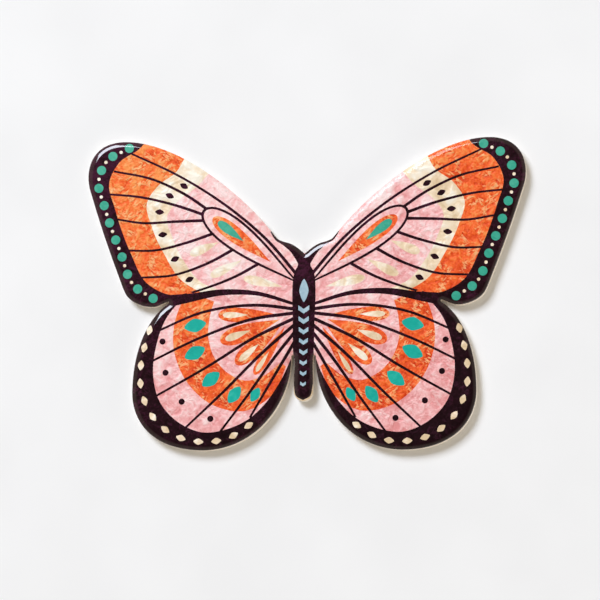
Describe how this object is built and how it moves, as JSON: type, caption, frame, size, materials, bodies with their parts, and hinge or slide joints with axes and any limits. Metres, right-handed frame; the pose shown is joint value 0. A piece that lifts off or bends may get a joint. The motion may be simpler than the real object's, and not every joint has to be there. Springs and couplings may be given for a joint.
{
  "type": "butterfly wall plaque",
  "caption": "Flat rigid butterfly plaque for a wall: a printed pearly shell face under a domed clear coat, bonded to a board with a keyhole hanger slot in its back.",
  "frame": {"origin": "middle of the outline's box, on the back of the board", "axes": "+Z out of the printed face, +Y up the body towards the head, +X across the wings to the right as seen from the front"},
  "size_m": [0.2, 0.1412, 0.006],
  "materials": {
    "painted_board": "fibreboard with a satin cream paint",
    "coated_shell": "crinkled pearly shell with printed colour under a clear gloss resin coat"
  },
  "bodies": {
    "root": {"backing_board": "painted_board", "shell_face": "coated_shell"}
  },
  "joints": []
}
